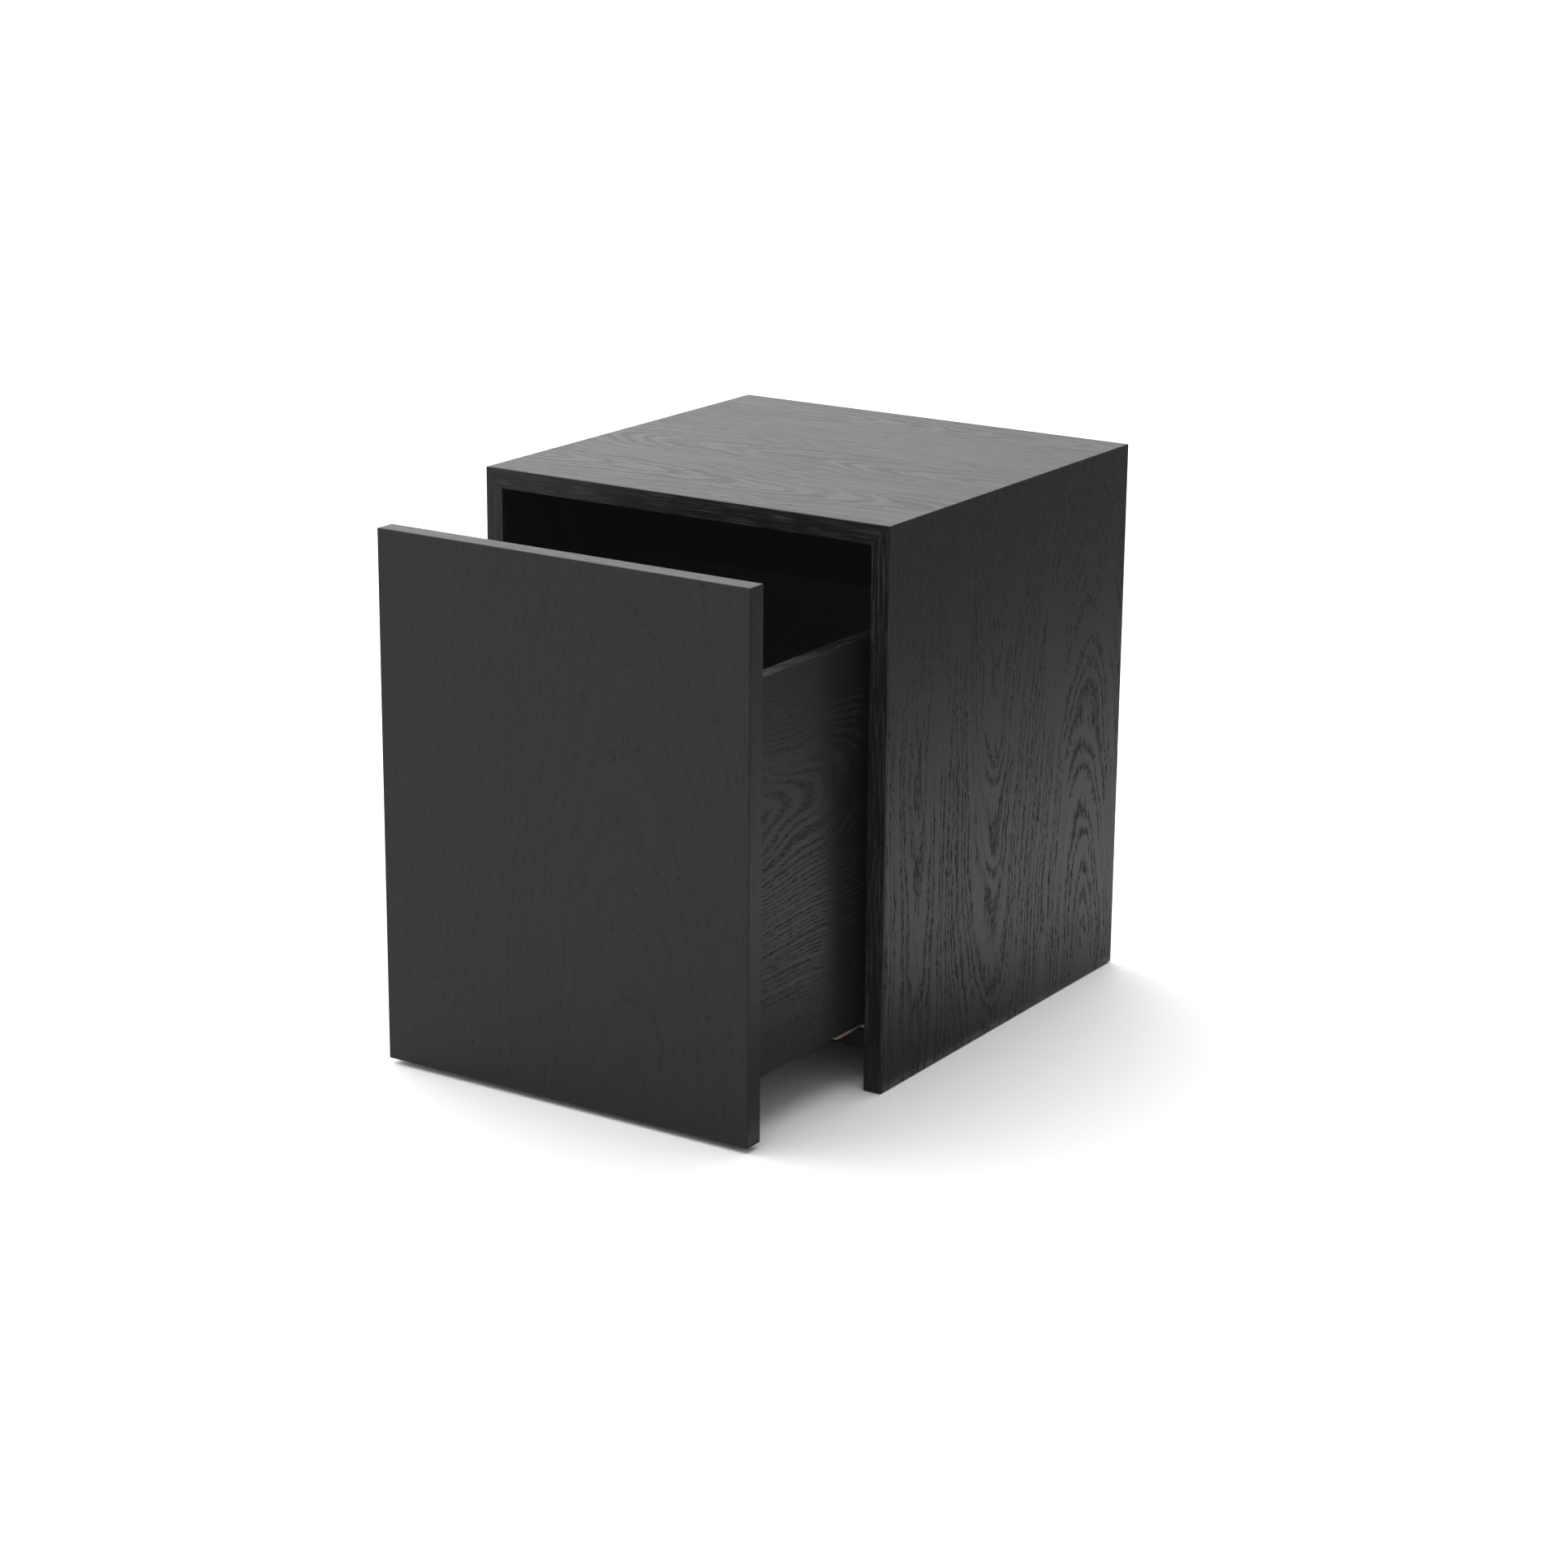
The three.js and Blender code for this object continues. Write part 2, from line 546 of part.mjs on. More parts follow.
function lockLever({ name, sign }) {
  const { x, y, z, arm, length } = LEVER;
  const boss = rodZ(LEVER.boss, sign * x, y, z);
  const bar = block([sign * (x - arm), sign * (x + arm)], [y + LEVER.pin + 1, y + length], z);
  const pad = block(
    [sign * (x - arm - LEVER.padWide), sign * (x + arm)], [y + length - LEVER.pad, y + length], z,
  );
  const hole = rodZ(LEVER.hole, sign * x, y, [z[0] - 1, z[1] + 1]);
  const geometry = shaped(boss, { joined: [bar, pad], cuts: [hole] });
  return part(`${name}_lock_lever`, geometry, FINISHES.copperPlastic);
}

// ---- Assembly -----------------------------------------------------------------------

function cabinet() {
  const group = new THREE.Group();
  group.add(topPanel(), bottomPanel(), backPanel(), ...frontLippings());
  for (const side of SIDES) {
    group.add(
      sidePanel(side), mitreSpline(side), ...bottomDowels(side), ...glides(side), ...backScrews(side),
      cabinetProfile(side), ...runnerScrews(side), middleProfile(side), runnerBumper(side),
      rollerCage(`${side.name}_runner_lower_cage`, side.sign, LOWER_CAGE),
      rollerCage(`${side.name}_runner_upper_cage`, side.sign, UPPER_CAGE),
      openerBody(side), openerPlunger(side),
    );
  }
  group.position.y = CARCASS_FRONT_Y;
  return group;
}

function drawer() {
  const group = new THREE.Group();
  group.add(frontPanel(), ...drawerFrontLippings(), innerFront(), drawerBack(), drawerBase());
  for (const side of SIDES) {
    group.add(drawerSide(side), ...frontScrews(side), drawerProfile(side), lockBody(side), lockLever(side));
  }
  group.position.y = DRAWER_FRONT_Y;
  return group;
}

const bedsideCabinet = new THREE.Group();
bedsideCabinet.add(cabinet(), drawer());

export default bedsideCabinet;
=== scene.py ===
"""A bedside cabinet in black-stained oak, with one deep drawer standing open."""

import json
import math

import bmesh
import bpy
from mathutils import Matrix, Vector


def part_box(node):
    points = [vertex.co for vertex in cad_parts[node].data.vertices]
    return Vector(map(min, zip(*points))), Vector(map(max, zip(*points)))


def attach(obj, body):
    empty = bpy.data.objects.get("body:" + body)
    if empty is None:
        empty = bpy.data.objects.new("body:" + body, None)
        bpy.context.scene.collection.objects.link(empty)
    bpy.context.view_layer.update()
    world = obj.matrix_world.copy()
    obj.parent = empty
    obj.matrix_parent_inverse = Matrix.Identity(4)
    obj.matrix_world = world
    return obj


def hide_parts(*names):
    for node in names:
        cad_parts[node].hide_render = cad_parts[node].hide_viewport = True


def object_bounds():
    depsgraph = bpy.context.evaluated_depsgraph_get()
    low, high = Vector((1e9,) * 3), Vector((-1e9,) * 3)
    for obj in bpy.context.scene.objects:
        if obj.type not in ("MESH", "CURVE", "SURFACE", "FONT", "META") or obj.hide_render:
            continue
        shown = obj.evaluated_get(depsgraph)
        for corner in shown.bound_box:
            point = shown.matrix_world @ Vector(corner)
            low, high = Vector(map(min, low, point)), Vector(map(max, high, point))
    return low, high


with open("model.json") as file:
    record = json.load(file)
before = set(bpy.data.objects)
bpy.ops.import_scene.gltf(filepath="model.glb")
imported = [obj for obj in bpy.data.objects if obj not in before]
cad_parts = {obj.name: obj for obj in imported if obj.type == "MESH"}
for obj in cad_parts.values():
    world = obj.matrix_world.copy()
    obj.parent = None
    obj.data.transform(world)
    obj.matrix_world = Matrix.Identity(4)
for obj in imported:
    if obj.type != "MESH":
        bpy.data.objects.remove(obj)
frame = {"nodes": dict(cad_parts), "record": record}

CAD_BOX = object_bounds()
MM = 0.001
SIDES = {"left": -1, "right": 1}
MIDDLE = (Vector(CAD_BOX[0]) + Vector(CAD_BOX[1])) / 2

# ---- Camera -----------------------------------------------------------------------------

CAMERA_AZIMUTH = 32.93  # degrees from -Y towards +X
CAMERA_ELEVATION = 16.7
CAMERA_DISTANCE = 3.183
CAMERA_ROLL = 0.48  # degrees
CAMERA_AIM = Vector((0.0240, 0.0055, -0.0316))  # aimed point, from the middle of the object
LENS = 84.96  # mm
SENSOR = 36.0  # mm, along the picture's longer side


def make_camera():
    azimuth = math.radians(CAMERA_AZIMUTH)
    elevation = math.radians(CAMERA_ELEVATION)
    back = Vector((
        math.sin(azimuth) * math.cos(elevation),
        -math.cos(azimuth) * math.cos(elevation),
        math.sin(elevation),
    ))
    data = bpy.data.cameras.new("camera")
    data.lens = LENS
    data.sensor_width = SENSOR
    camera = bpy.data.objects.new("camera", data)
    bpy.context.scene.collection.objects.link(camera)
    roll = Matrix.Rotation(math.radians(CAMERA_ROLL), 3, "Z").to_quaternion()
    turn = back.to_track_quat("Z", "Y") @ roll
    camera.matrix_world = Matrix.LocRotScale(MIDDLE + CAMERA_AIM + back * CAMERA_DISTANCE, turn, None)
    bpy.context.scene.camera = camera


# ---- Node building ----------------------------------------------------------------------


class Graph:
    """Builds one material's nodes. Every method returns the new node's output socket."""

    def __init__(self, name):
        self.material = bpy.data.materials.new(name)
        self.material.use_nodes = True
        self.tree = self.material.node_tree
        self.tree.nodes.clear()
        self.shader = self.tree.nodes.new("ShaderNodeBsdfPrincipled")
        output = self.tree.nodes.new("ShaderNodeOutputMaterial")
        self.tree.links.new(self.shader.outputs[0], output.inputs["Surface"])

    def set(self, socket, value):
        if isinstance(value, bpy.types.NodeSocket):
            self.tree.links.new(value, socket)
        else:
            socket.default_value = value

    def math(self, operation, first, second=0.0):
        node = self.tree.nodes.new("ShaderNodeMath")
        node.operation = operation
        self.set(node.inputs[0], first)
        self.set(node.inputs[1], second)
        return node.outputs[0]

    def total(self, *terms):
        result = terms[0]
        for term in terms[1:]:
            result = self.math("ADD", result, term)
        return result

    def subtract(self, first, second):
        return self.math("SUBTRACT", first, second)

    def times(self, first, second):
        return self.math("MULTIPLY", first, second)

    def swing(self, value, size):
        """value between 0 and 1, made to swing round zero, from -size / 2 to size / 2."""
        return self.times(self.subtract(value, 0.5), size)

    def between(self, value, low, high):
        """0 below low, 1 above high, and a smooth rise from one to the other."""
        node = self.tree.nodes.new("ShaderNodeMapRange")
        node.interpolation_type = "SMOOTHSTEP"
        self.set(node.inputs["Value"], value)
        self.set(node.inputs["From Min"], low)
        self.set(node.inputs["From Max"], high)
        return node.outputs["Result"]

    def blend(self, factor, first, second):
        """first where factor is 0 and second where it is 1."""
        node = self.tree.nodes.new("ShaderNodeMix")
        self.set(node.inputs["Factor"], factor)
        self.set(node.inputs[2], first)
        self.set(node.inputs[3], second)
        return node.outputs[0]

    def blend_colors(self, factor, first, second):
        node = self.tree.nodes.new("ShaderNodeMix")
        node.data_type = "RGBA"
        self.set(node.inputs["Factor"], factor)
        self.set(node.inputs[6], (*first, 1.0) if isinstance(first, tuple) else first)
        self.set(node.inputs[7], (*second, 1.0) if isinstance(second, tuple) else second)
        return node.outputs[2]

    def vector(self, x, y, z):
        node = self.tree.nodes.new("ShaderNodeCombineXYZ")
        for socket, value in zip(node.inputs, (x, y, z)):
            self.set(socket, value)
        return node.outputs[0]

    def place(self):
        """The three coordinates of the surface point at rest, in millimetres."""
        coordinates = self.tree.nodes.new("ShaderNodeTexCoord")
        node = self.tree.nodes.new("ShaderNodeSeparateXYZ")
        self.tree.links.new(coordinates.outputs["Object"], node.inputs[0])
        return {axis: self.times(socket, 1000.0) for axis, socket in zip("XYZ", node.outputs)}

    def noise(self, vector, detail, scale=1.0):
        """Noise between 0 and 1."""
        node = self.tree.nodes.new("ShaderNodeTexNoise")
        self.set(node.inputs["Vector"], vector)
        node.inputs["Scale"].default_value = scale
        node.inputs["Detail"].default_value = detail
        return node.outputs["Fac"]

    def bump(self, height, distance, strength):
        node = self.tree.nodes.new("ShaderNodeBump")
        self.set(node.inputs["Height"], height)
        node.inputs["Distance"].default_value = distance
        node.inputs["Strength"].default_value = strength
        return node.outputs["Normal"]

    def finish(self, color, roughness, normal=None, **uniform):
        """Wires up the shader. uniform holds sockets that are the same all over."""
        self.set(self.shader.inputs["Base Color"], (*color, 1.0) if isinstance(color, tuple) else color)
        self.set(self.shader.inputs["Roughness"], roughness)
        if normal is not None:
            self.set(self.shader.inputs["Normal"], normal)
        for name, value in uniform.items():
            self.shader.inputs[name.replace("_", " ")].default_value = value
        return self.material


# ---- Stained oak ------------------------------------------------------------------------
# Growth rings are cylinders round a pith that dips under the board's face at a slant, so
# they cut the face in nested arches above the pith and in lines beside it. Pores are short
# dashes along the grain, crowded where a ring begins.

STAIN_DARK = (0.0035, 0.00345, 0.0034)
STAIN_LIGHT = (0.0070, 0.0068, 0.0067)
PORE_STAIN = (0.0048, 0.0047, 0.0046)

# Noises drawn out along the grain: the width and length of their features in mm, their
# detail, and a shift that keeps each one unlike the others.
SWAY = (85, 210, 1.0, 0.0)
WANDER = (16, 90, 1.0, 4.0)
DIP = (60, 75, 1.0, 9.0)
JAG = (1.8, 22, 1.0, 13.0)
PATCHES = (26, 90, 1.0, 27.0)
FIBRE = (0.5, 30, 2.0, 33.0)
CALM = (34, 150, 1.0, 41.0)
PORE_DETAIL = 1.6
PORE_SHIFT = 21.0

SWAY_SIZE = 30.0  # how far the three shift the rings, mm
WANDER_SIZE = 6.0
DIP_SIZE = 15.0
UNEVEN_PITCH = 0.55  # how often a ring differs from the next in width
UNEVEN_SIZE = 1.9
LIFT = 40.0  # rings, which keep the count above zero
EARLY_FADE = 0.28  # how softly a crowded row ends, as a share of a ring
PORE_EDGE = 0.06
CALM_RANGE = (0.55, 0.64)

# Every board has its own way of showing its grain.
PLAIN_LOOK = {
    "satin": 0.34,  # roughness of the lacquer between the pores
    "rough": 0.98,  # and in them
    "depth": 0.85,
    "dash": (0.70, 6.0),  # width and length of a pore, mm
    "sparse": 0.665,  # how few pores stand between the crowded rows
    "crowd": 0.20,  # how much more crowded the rows are
    "early": 0.62,  # how wide the rows are, as a share of a ring
    "calm": 0.15,  # how free of pores the plain patches are
    "jag": 0.9,  # how ragged the rings are
    "specular": 0.29,
    "pore": PORE_STAIN,
}
FINE_LOOK = {"satin": 0.40, "rough": 0.52, "depth": 0.18, "dash": (0.6, 12.0), "specular": 0.26}
FRONT_LOOK = {
    "satin": 0.40, "rough": 0.78, "depth": 0.4, "dash": (0.65, 5.0), "sparse": 0.665, "crowd": 0.17,
    "early": 0.25, "calm": 0.0, "specular": 0.223,
}
# The lippings show their pores as long light streaks.
LIPPING_LOOK = {
    "rough": 0.65, "depth": 0.1, "dash": (0.45, 40.0), "sparse": 0.58, "crowd": 0.03, "calm": 0.0,
    "pore": (0.040, 0.0396, 0.0388), "specular": 0.155,
}
EDGE_LOOK = {**FRONT_LOOK, "specular": 0.35}
BOX_LOOK = {"depth": 0.5, "rough": 0.85, "dash": (0.6, 7.0), "jag": 0.45, "specular": 0.31}


class Leaf:
    """A sheet of veneer: where its pith runs (across), where along the grain it comes to
    the face, how fast it dips, how wide a ring is, how far from the pith the rings are half
    as wide as that, and the leaf's far edge across."""

    def __init__(self, centre, start, slope, ring, half=math.inf, until=None):
        self.centre = centre
        self.start = start
        self.slope = slope
        self.ring = ring
        self.half = half
        self.until = until

    def rings(self, graph, across, along, deep, aside, dip):
        """The distance from the pith, counted in rings."""
        sideways = graph.total(across, aside, -self.centre)
        downwards = graph.total(graph.times(graph.subtract(along, self.start), self.slope), deep, dip)
        squares = graph.total(graph.times(sideways, sideways), graph.times(downwards, downwards))
        thinning = graph.times(squares, 0.5 / (self.half * self.ring))
        return graph.total(graph.math("DIVIDE", graph.math("SQRT", squares), self.ring), thinning)


def stained_oak(name, across, along, face, leaves, seed, look=None):
    look = {**PLAIN_LOOK, **(look or {})}
    graph = Graph(name)
    place = graph.place()
    u, v = place[across], place[along]
    w = graph.subtract(place[({"X", "Y", "Z"} - {across, along}).pop()], face)
    deep = graph.math("ABSOLUTE", w)

    def streaks(wide, long, detail, shift):
        """Noise drawn out along the grain."""
        spot = graph.vector(
            graph.times(u, 1 / wide), graph.times(v, 1 / long),
            graph.total(graph.times(w, 0.8 / wide), seed * 17.3 + shift),
        )
        return graph.noise(spot, detail)

    sway = graph.swing(streaks(*SWAY), SWAY_SIZE)
    aside = graph.total(sway, graph.swing(streaks(*WANDER), WANDER_SIZE))
    dip = graph.swing(streaks(*DIP), DIP_SIZE)
    rings = leaves[-1].rings(graph, u, v, deep, aside, dip)
    for leaf in reversed(leaves[:-1]):
        inside = graph.math("LESS_THAN", u, leaf.until)
        rings = graph.blend(inside, rings, leaf.rings(graph, u, v, deep, aside, dip))
    ring_noise = graph.noise(graph.vector(graph.times(rings, UNEVEN_PITCH), 0.0, seed * 3.1), 0.0)
    uneven = graph.swing(ring_noise, UNEVEN_SIZE)
    jagged = graph.swing(streaks(*JAG), look["jag"])
    phase = graph.math("FRACT", graph.total(rings, uneven, jagged, LIFT))
    early = graph.subtract(1.0, graph.between(phase, look["early"] - EARLY_FADE, look["early"]))

    dashes = streaks(*look["dash"], PORE_DETAIL, PORE_SHIFT)
    patches = streaks(*PATCHES)
    calm = graph.between(streaks(*CALM), *CALM_RANGE)
    threshold = graph.subtract(look["sparse"], graph.times(early, look["crowd"]))
    threshold = graph.total(threshold, graph.swing(patches, -0.08), graph.times(calm, look["calm"]))
    pore = graph.between(dashes, threshold, graph.total(threshold, PORE_EDGE))
    fibre = streaks(*FIBRE)

    tone = graph.total(
        graph.swing(fibre, 0.9), graph.swing(patches, 0.7), graph.times(early, -0.25), 0.5,
    )
    color = graph.blend_colors(graph.math("MAXIMUM", tone, 0.0), STAIN_DARK, STAIN_LIGHT)
    color = graph.blend_colors(pore, color, look["pore"])
    satin = graph.total(look["satin"], graph.swing(fibre, 0.12), graph.times(early, 0.05))
    roughness = graph.blend(pore, satin, look["rough"])
    height = graph.subtract(graph.times(fibre, 0.10), graph.times(pore, look["depth"]))
    normal = graph.bump(height, 0.08 * MM, 0.8)
    return graph.finish(color, roughness, normal, Specular_IOR_Level=look["specular"])


# ---- Other materials --------------------------------------------------------------------


def zinc_steel():
    graph = Graph("zinc_steel")
    place = graph.place()
    rolled = graph.noise(graph.vector(
        graph.times(place["X"], 2.2), graph.times(place["Y"], 0.06), graph.times(place["Z"], 2.2),
    ), 3.0)
    mottle = graph.noise(graph.vector(place["X"], place["Y"], place["Z"]), 3.0, scale=0.12)
    color = graph.blend_colors(mottle, (0.60, 0.61, 0.62), (0.76, 0.77, 0.78))
    roughness = graph.total(0.34, graph.times(rolled, 0.24))
    return graph.finish(color, roughness, graph.bump(rolled, 0.03 * MM, 0.5), Metallic=0.85)


def moulded_plastic(name, dark, light, roughness):
    graph = Graph(name)
    place = graph.place()
    spot = graph.vector(place["X"], place["Y"], place["Z"])
    grain = graph.noise(spot, 2.0, scale=2.6)
    cloud = graph.noise(spot, 2.0, scale=0.06)
    color = graph.blend_colors(cloud, dark, light)
    rough = graph.total(roughness, graph.swing(grain, 0.12))
    return graph.finish(color, rough, graph.bump(grain, 0.04 * MM, 0.6))


def raw_beech():
    graph = Graph("raw_beech")
    place = graph.place()
    fleck = graph.noise(graph.vector(
        graph.times(place["X"], 0.35), graph.times(place["Y"], 1.6), graph.times(place["Z"], 1.6),
    ), 3.0)
    color = graph.blend_colors(graph.between(fleck, 0.42, 0.68), (0.60, 0.40, 0.24), (0.42, 0.25, 0.13))
    return graph.finish(color, 0.7, graph.bump(fleck, 0.1 * MM, 0.4))


# ---- Boards -----------------------------------------------------------------------------

JOINT_BEVEL = 0.42 * MM  # breaks the edges that meet at a joint, so that its line shows
CARCASS_ROUND = 0.7 * MM
FRONT_ROUND = 0.6 * MM
BOX_ROUND = 0.8 * MM
SMALL_ROUND = 0.5 * MM
ROUND_STEPS = 4
HAIR = 0.002 * MM  # keeps a shaping tool's faces clear of a board's own
SHARP = math.radians(35)
SHORTEST_EDGE = 4 * MM  # of the edges that are bevelled
RECESS_DEPTH = 1.1 * MM
RECESS_WIDTH = 0.7 * MM
RECESS_REACH = 1.7 * MM
RECESS_MOUTH = (-0.5, 1.2)  # depth and reach of a wedge's wide end, as shares of the recess's
RECESS_FLOOR = (1.0, 0.45)  # and of its narrow end
SLOTS = {entry["node"]: entry["material_slot"] for entry in frame["record"]["subparts"]}


def link(name, mesh):
    thing = bpy.data.objects.new(name, mesh)
    bpy.context.scene.collection.objects.link(thing)
    return thing


def mesh_from(bm, name):
    mesh = bpy.data.meshes.new(name)
    bm.to_mesh(mesh)
    bm.free()
    return mesh


def whole_faces(node):
    """A node's shape, with its triangles joined into whole faces."""
    bm = bmesh.new()
    bm.from_mesh(frame["nodes"][node].data)
    bmesh.ops.remove_doubles(bm, verts=bm.verts, dist=0.001 * MM)
    bmesh.ops.dissolve_limit(bm, angle_limit=math.radians(0.5), verts=bm.verts, edges=bm.edges)
    return bm


def bevel(bm, chosen, size, steps):
    edges = [
        edge for edge in bm.edges
        if edge.is_manifold and edge.calc_face_angle() > SHARP
        and edge.calc_length() > SHORTEST_EDGE and chosen(*(vertex.co for vertex in edge.verts))
    ]
    bmesh.ops.bevel(
        bm, geom=edges, offset=size, offset_type="OFFSET", segments=steps, profile=0.5, affect="EDGES",
        clamp_overlap=True,
    )


def rounded_box(nodes, radius):
    """A shaping tool: the box of some nodes, with round edges."""
    low = Vector([min(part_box(node)[0][i] for node in nodes) - HAIR for i in range(3)])
    high = Vector([max(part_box(node)[1][i] for node in nodes) + HAIR for i in range(3)])
    bm = bmesh.new()
    bmesh.ops.create_cube(bm, size=1.0, matrix=Matrix.LocRotScale((low + high) / 2, None, high - low))
    bmesh.ops.bevel(
        bm, geom=bm.edges[:], offset=radius, offset_type="OFFSET", segments=ROUND_STEPS, profile=0.5,
        affect="EDGES",
    )
    return link("tool", mesh_from(bm, "tool"))


def shaped(mesh, tool, operation):
    """A mesh after a tool has kept (INTERSECT) or cut away (DIFFERENCE) what it covers."""
    thing = link("shaping", mesh)
    modifier = thing.modifiers.new("shape", "BOOLEAN")
    modifier.operation = operation
    modifier.solver = "EXACT"
    modifier.object = tool
    result = bpy.data.meshes.new_from_object(thing.evaluated_get(bpy.context.evaluated_depsgraph_get()))
    bpy.data.objects.remove(thing)
    return result


def smooth(thing):
    mesh = thing.data
    for polygon in mesh.polygons:
        polygon.use_smooth = True
    mesh.set_sharp_from_angle(angle=SHARP)
    weighted = thing.modifiers.new("flat_faces", "WEIGHTED_NORMAL")
    weighted.keep_sharp = True
    weighted.weight = 100


def board(node, material, body, tool=None, arris=None, size=0.0):
    """A finished board in place of a node. It keeps only what a tool covers, and arris
    chooses the edges that are rounded to a size."""
    bm = whole_faces(node)
    if arris:
        bevel(bm, arris, size, 3)
    bevel(bm, lambda a, b: not (arris and arris(a, b)), JOINT_BEVEL, 1)
    mesh = mesh_from(bm, node)
    if tool:
        mesh = shaped(mesh, tool, "INTERSECT")
    finished(node, mesh, material, body)


def finished(node, mesh, material, body):
    """Shows a mesh in place of a node."""
    thing = link(f"finished_{node}", mesh)
    smooth(thing)
    mesh.materials.clear()
    mesh.materials.append(material)
    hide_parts(node)
    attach(thing, body)


def near(value, target):
    return abs(value - target) < 0.01 * MM


def make_carcass():
    top = stained_oak("top_oak", "Y", "X", 480, [
        Leaf(-45, -420, 0.09, 5.0, until=20),
        Leaf(72, 360, -0.10, 5.0, until=150),
        Leaf(250, -300, 0.08, 4.5),
    ], 1, FINE_LOOK)
    right = stained_oak("right_side_oak", "Y", "Z", 200, [
        Leaf(-62, 560, -0.05, 6.5, until=-5),
        Leaf(62, 540, -0.12, 5.0, until=135),
        Leaf(221, 20, 0.215, 6.2),
    ], 2)
    left = stained_oak("left_side_oak", "Y", "Z", -200, [
        Leaf(-20, 500, -0.20, 6.5, until=60), Leaf(160, -20, 0.24, 7.0),
    ], 3)
    back = stained_oak("back_oak", "X", "Z", 283, [
        Leaf(-70, -30, 0.2, 7.0, until=40), Leaf(120, 500, -0.2, 7.0),
    ], 5)
    base = stained_oak("bottom_oak", "Y", "X", 45, [Leaf(60, -320, 0.14, 6.5)], 6)
    across = stained_oak("lipping_across_oak", "Z", "X", -115, [Leaf(200, 0, 0.02, 3.6)], 7, LIPPING_LOOK)
    upright = stained_oak("lipping_upright_oak", "X", "Z", -115, [Leaf(60, 0, 0.02, 3.6)], 8, LIPPING_LOOK)
    outline = rounded_box(
        ["top_panel", "left_side_panel", "right_side_panel", "top_front_lipping"], CARCASS_ROUND,
    )
    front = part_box("top_front_lipping")[0][1]
    inner_side = abs(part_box("left_side_panel")[1][0])
    inner_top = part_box("top_panel")[0][2]

    def opening(a, b):
        """Whether an edge of a lipping runs along the opening's front rim."""
        if not (near(a.y, front) and near(b.y, front)):
            return False
        beside = near(abs(a.x), inner_side) and near(abs(b.x), inner_side)
        above = near(a.z, inner_top) and near(b.z, inner_top)
        return beside or above

    for node, material in {"top_panel": top, "left_side_panel": left, "right_side_panel": right}.items():
        board(node, material, "cabinet", outline)
    board("top_front_lipping", across, "cabinet", outline, opening, SMALL_ROUND)
    for side in SIDES:
        board(f"{side}_front_lipping", upright, "cabinet", outline, opening, SMALL_ROUND)
    board("bottom_panel", base, "cabinet", None, lambda a, b: near(a.y, b.y), SMALL_ROUND)
    board("back_panel", back, "cabinet")
    bpy.data.objects.remove(outline)


def make_drawer():
    face_leaf = Leaf(66, -330, 0.145, 13.0, half=130)
    face = stained_oak("drawer_front_oak", "X", "Z", -285, [face_leaf], 4, FRONT_LOOK)
    straight = Leaf(-200, 0, 0.02, 3.6)
    across = stained_oak("front_lipping_across_oak", "Y", "X", 461, [straight], 9, FINE_LOOK)
    upright = stained_oak("front_lipping_upright_oak", "Y", "Z", 180, [straight], 10, EDGE_LOOK)
    right_leaf = Leaf(272, -400, 0.17, 8.5, half=80)
    left_leaf = Leaf(150, -400, 0.17, 8.5, half=80)
    right = stained_oak("drawer_right_side_oak", "Z", "Y", 173, [right_leaf], 11, BOX_LOOK)
    left = stained_oak("drawer_left_side_oak", "Z", "Y", -173, [left_leaf], 14, BOX_LOOK)
    ends = stained_oak("drawer_end_oak", "Z", "X", 36, [Leaf(150, -300, 0.05, 5.0)], 12)
    base = stained_oak("drawer_base_oak", "Y", "X", 75, [Leaf(-100, -300, 0.10, 6.0)], 13)
    lippings = {f"drawer_front_{place}_lipping": across for place in ("top", "bottom")}
    lippings.update({f"drawer_front_{place}_lipping": upright for place in SIDES})
    outline = rounded_box(["drawer_front_panel", *lippings], FRONT_ROUND)
    board("drawer_front_panel", face, "drawer", outline)
    for node, material in lippings.items():
        board(node, material, "drawer", outline)
    bpy.data.objects.remove(outline)
    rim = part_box("drawer_left_side")[1][2]

    def top_rim(a, b):
        return near(a.z, rim) and near(b.z, rim)

    for node, material in {
        "drawer_left_side": left, "drawer_right_side": right,
        "drawer_back": ends, "drawer_inner_front": ends,
    }.items():
        board(node, material, "drawer", None, top_rim, BOX_ROUND)
    board("drawer_bottom", base, "drawer")


# ---- Fittings ---------------------------------------------------------------------------

FITTING_BEVEL = 0.15 * MM
FITTING_SHARP = math.radians(50)


def paint(node, material):
    slots = frame["nodes"][node].data.materials
    slots.clear()
    slots.append(material)


def recess_arm(node, along, across):
    """A wedge that cuts one arm of the cross recess into a screw's head."""
    low, high = (Vector(corner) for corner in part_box(node))
    head = high if along == 1 or low.x < 0 else low
    inwards = (low + high)[along] / 2 - head[along]
    middle = (low + high) / 2
    middle[along] = head[along]
    depth, length, width = Vector(), Vector(), Vector()
    depth[along] = math.copysign(RECESS_DEPTH, inwards)
    length[across] = 1.0
    width[3 - along - across] = RECESS_WIDTH / 2
    bm = bmesh.new()
    rings = []
    for sink, reach in (RECESS_MOUTH, RECESS_FLOOR):
        centre = middle + depth * sink
        arm = length * RECESS_REACH * reach
        corners = (arm + width, arm - width, -arm - width, -arm + width)
        rings.append([bm.verts.new(centre + corner) for corner in corners])
    bm.faces.new(rings[0])
    bm.faces.new(rings[1])
    for i in range(4):
        bm.faces.new((rings[0][i], rings[0][i - 1], rings[1][i - 1], rings[1][i]))
    bmesh.ops.recalc_face_normals(bm, faces=bm.faces)
    return link("tool", mesh_from(bm, "tool"))


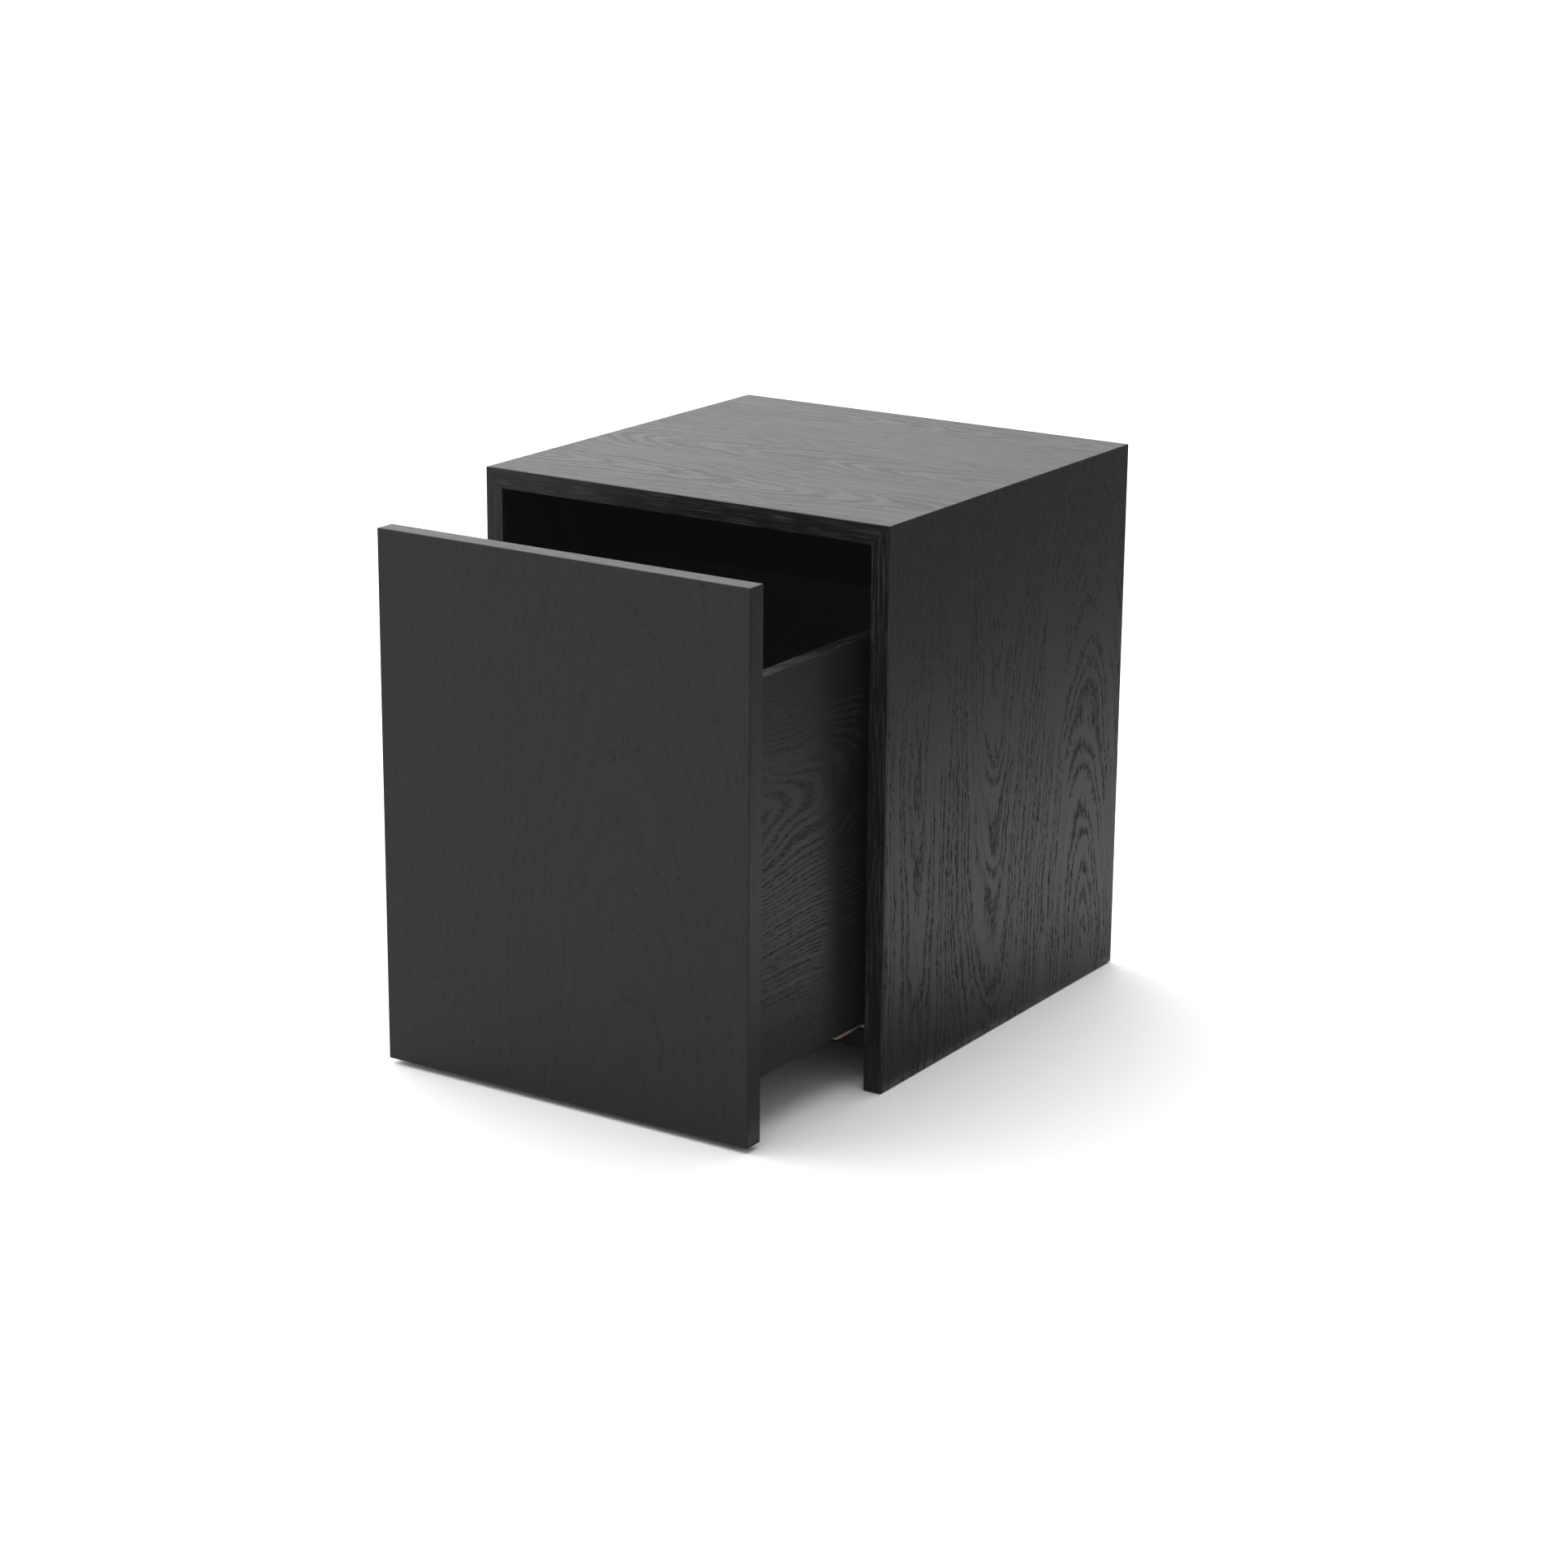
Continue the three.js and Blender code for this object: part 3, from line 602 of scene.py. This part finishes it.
def finish_screws(steel):
    """The screws, each with a cross recess in its head."""
    for node in SLOTS:
        if not node.endswith("_screw"):
            continue
        along = 0 if node.endswith("_runner_screw") else 1
        body = "drawer" if node.endswith("_front_screw") else "cabinet"
        mesh = frame["nodes"][node].data.copy()
        for across in {0, 1, 2} - {along}:
            tool = recess_arm(node, along, across)
            mesh = shaped(mesh, tool, "DIFFERENCE")
            bpy.data.objects.remove(tool)
        finished(node, mesh, steel, body)


def finish_fittings():
    """The screws, and materials and softened edges for the CAD pieces shown as they are."""
    steel = zinc_steel()
    finish_screws(steel)
    materials = {
        "zinc_steel": steel,
        "beech": raw_beech(),
        "dark_plastic": moulded_plastic("dark_plastic", (0.020, 0.020, 0.021), (0.034, 0.034, 0.036), 0.45),
        "copper_plastic": moulded_plastic("copper_plastic", (0.19, 0.13, 0.11), (0.25, 0.17, 0.145), 0.36),
        "pale_plastic": moulded_plastic("pale_plastic", (0.42, 0.41, 0.38), (0.52, 0.51, 0.47), 0.42),
    }
    for node, slot in SLOTS.items():
        if slot not in materials or node.endswith("_screw"):
            continue
        paint(node, materials[slot])
        softened = frame["nodes"][node].modifiers.new("softened_edges", "BEVEL")
        softened.width = FITTING_BEVEL
        softened.segments = 2
        softened.limit_method = "ANGLE"
        softened.angle_limit = FITTING_SHARP


# ---- Floor and light --------------------------------------------------------------------

FLOOR_REACH = 60.0  # m
FLOOR_SHADE = (0.86, 0.86, 0.86)
# The shaded card glows though it is no lamp and shows only in the wood's reflections: a painted reflection
# of the floor, with a painted shadow of the cabinet in its glow.
CARD_X = (0.203, 5.0)  # m
CARD_Y = (-0.30, 5.0)  # m
CARD_Z = 0.004  # m
CARD_BRIGHT = 1.22
CARD_SHADOW = 0.16  # its share of that glow in the painted shadow of the cabinet
CARD_END = 0.02  # and far off on the right
SHADOW_SLANT = 0.60  # how the painted shadow's edge turns away towards the back
SHADOW_EDGE = (190, 620)  # mm, where the painted shadow ends
CARD_FADE = (380, 900)  # mm, where the card fades out
KEY_STRENGTH = 3.45
KEY_SPREAD = math.radians(105)
KEY_FROM = Vector((-0.42, 0.07, 1.0))
LOW_BACK_LEFT = Vector((-1.0, 0.28, 0.12))
STUDIO_RANGE = (0.2, 1.0)  # cosines off that direction between which the brightness rises
STUDIO_BRIGHT = (0.54, 1.85)  # and how far it does
VEIL = -0.0035


def plane(name, x, y, z):
    mesh = bpy.data.meshes.new(name)
    corners = [(x[0], y[0], z), (x[1], y[0], z), (x[1], y[1], z), (x[0], y[1], z)]
    mesh.from_pydata(corners, [], [(0, 1, 2, 3)])
    return link(name, mesh)


def make_floor():
    reach = (-FLOOR_REACH, FLOOR_REACH)
    floor = plane("floor", reach, reach, 0.0)
    floor.data.materials.append(Graph("pale_floor").finish(FLOOR_SHADE, 0.9, Specular_IOR_Level=0.1))


def make_card():
    """A card on the floor to the right that glows though it is no lamp, seen only in the wood's own
    reflections, where it paints a reflected floor with a painted shadow of the cabinet.
    """
    card = plane("shaded_card", CARD_X, CARD_Y, CARD_Z)
    graph = Graph("card_shade")
    place = graph.place()
    # clear is 0 in the painted shadow of the cabinet and 1 beyond it; far fades the painted glow out to the
    # right.
    clear = graph.between(graph.total(place["X"], graph.times(place["Y"], SHADOW_SLANT)), *SHADOW_EDGE)
    far = graph.between(place["X"], *CARD_FADE)
    light = graph.times(graph.blend(clear, CARD_SHADOW, 1.0), graph.blend(far, 1.0, CARD_END))
    graph.set(graph.shader.inputs["Emission Strength"], graph.times(light, CARD_BRIGHT))
    graph.finish((0.0, 0.0, 0.0), 1.0, Specular_IOR_Level=0.0, Emission_Color=(1.0, 1.0, 1.0, 1.0))
    card.data.materials.append(graph.material)
    card.visible_camera = False
    card.visible_shadow = False
    card.visible_diffuse = False


def make_sun():
    data = bpy.data.lights.new("key", "SUN")
    data.energy = KEY_STRENGTH
    data.angle = KEY_SPREAD
    sun = link("key", data)
    sun.rotation_euler = KEY_FROM.to_track_quat("Z", "Y").to_euler()


def make_world():
    """An even pale studio, brighter low at the back left, where the top's sheen comes from."""
    world = bpy.data.worlds.new("studio")
    bpy.context.scene.world = world
    world.use_nodes = True
    tree = world.node_tree
    background = tree.nodes["Background"]
    direction = tree.nodes.new("ShaderNodeTexCoord")
    facing = tree.nodes.new("ShaderNodeVectorMath")
    facing.operation = "DOT_PRODUCT"
    facing.inputs[1].default_value = LOW_BACK_LEFT.normalized()
    tree.links.new(direction.outputs["Generated"], facing.inputs[0])
    level = tree.nodes.new("ShaderNodeMapRange")
    level.interpolation_type = "SMOOTHSTEP"
    level.inputs["From Min"].default_value, level.inputs["From Max"].default_value = STUDIO_RANGE
    level.inputs["To Min"].default_value, level.inputs["To Max"].default_value = STUDIO_BRIGHT
    tree.links.new(facing.outputs["Value"], level.inputs["Value"])
    tree.links.new(level.outputs["Result"], background.inputs["Strength"])
    background.inputs["Color"].default_value = (1.0, 1.0, 1.0, 1.0)


def set_view():
    """Plain view transform. The lifted black is the veil that so bright a backdrop gives."""
    view = bpy.context.scene.view_settings
    view.view_transform = "Standard"
    view.use_curve_mapping = True
    view.curve_mapping.black_level = (VEIL, VEIL, VEIL)
    view.curve_mapping.update()


set_view()
make_camera()
make_carcass()
make_drawer()
finish_fittings()
make_floor()
make_card()
make_sun()
make_world()
